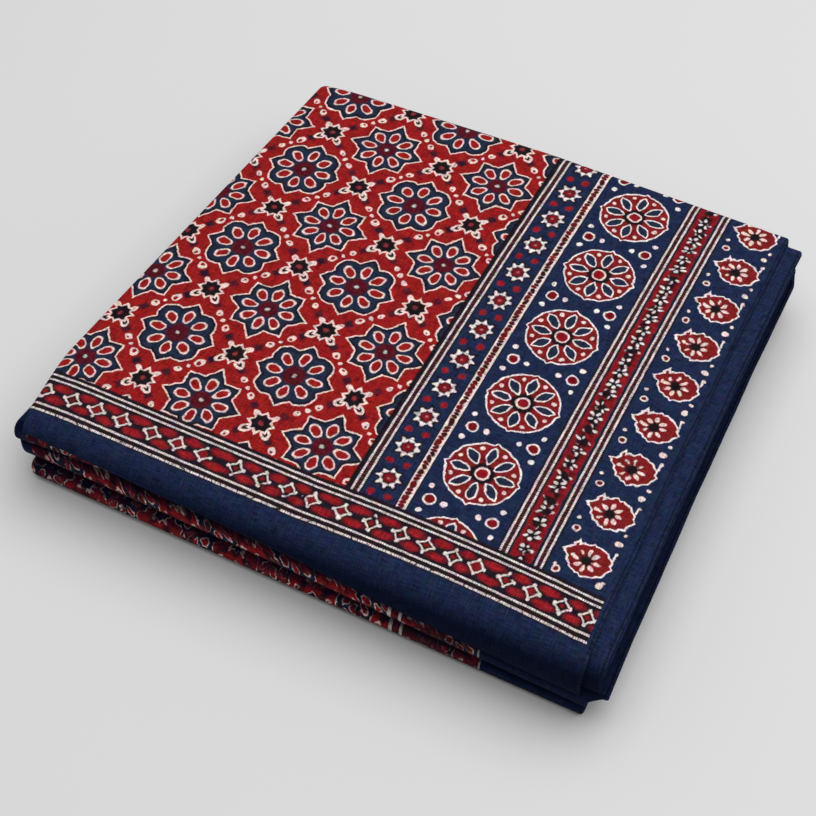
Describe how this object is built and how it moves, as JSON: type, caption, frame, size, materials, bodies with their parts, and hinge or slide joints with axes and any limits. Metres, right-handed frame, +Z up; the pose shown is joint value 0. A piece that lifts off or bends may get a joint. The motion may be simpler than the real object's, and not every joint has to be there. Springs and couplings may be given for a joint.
{
  "type": "folded ajrakh cloth",
  "caption": "Block-printed ajrakh cotton cloth, folded in half and then back and forth into a flat stack, with its hem rolled down over the front",
  "frame": {"origin": "middle of the folded cloth on the surface that it lies on", "axes": "+Z up; +X along the front edge, from the closed side to the open side; +Y from the front hem to the back folds"},
  "size_m": [0.3848, 0.3547, 0.0614],
  "materials": {
    "cloth": "matt printed cotton"
  },
  "bodies": {
    "root": {"cloth": "cloth"}
  },
  "joints": []
}
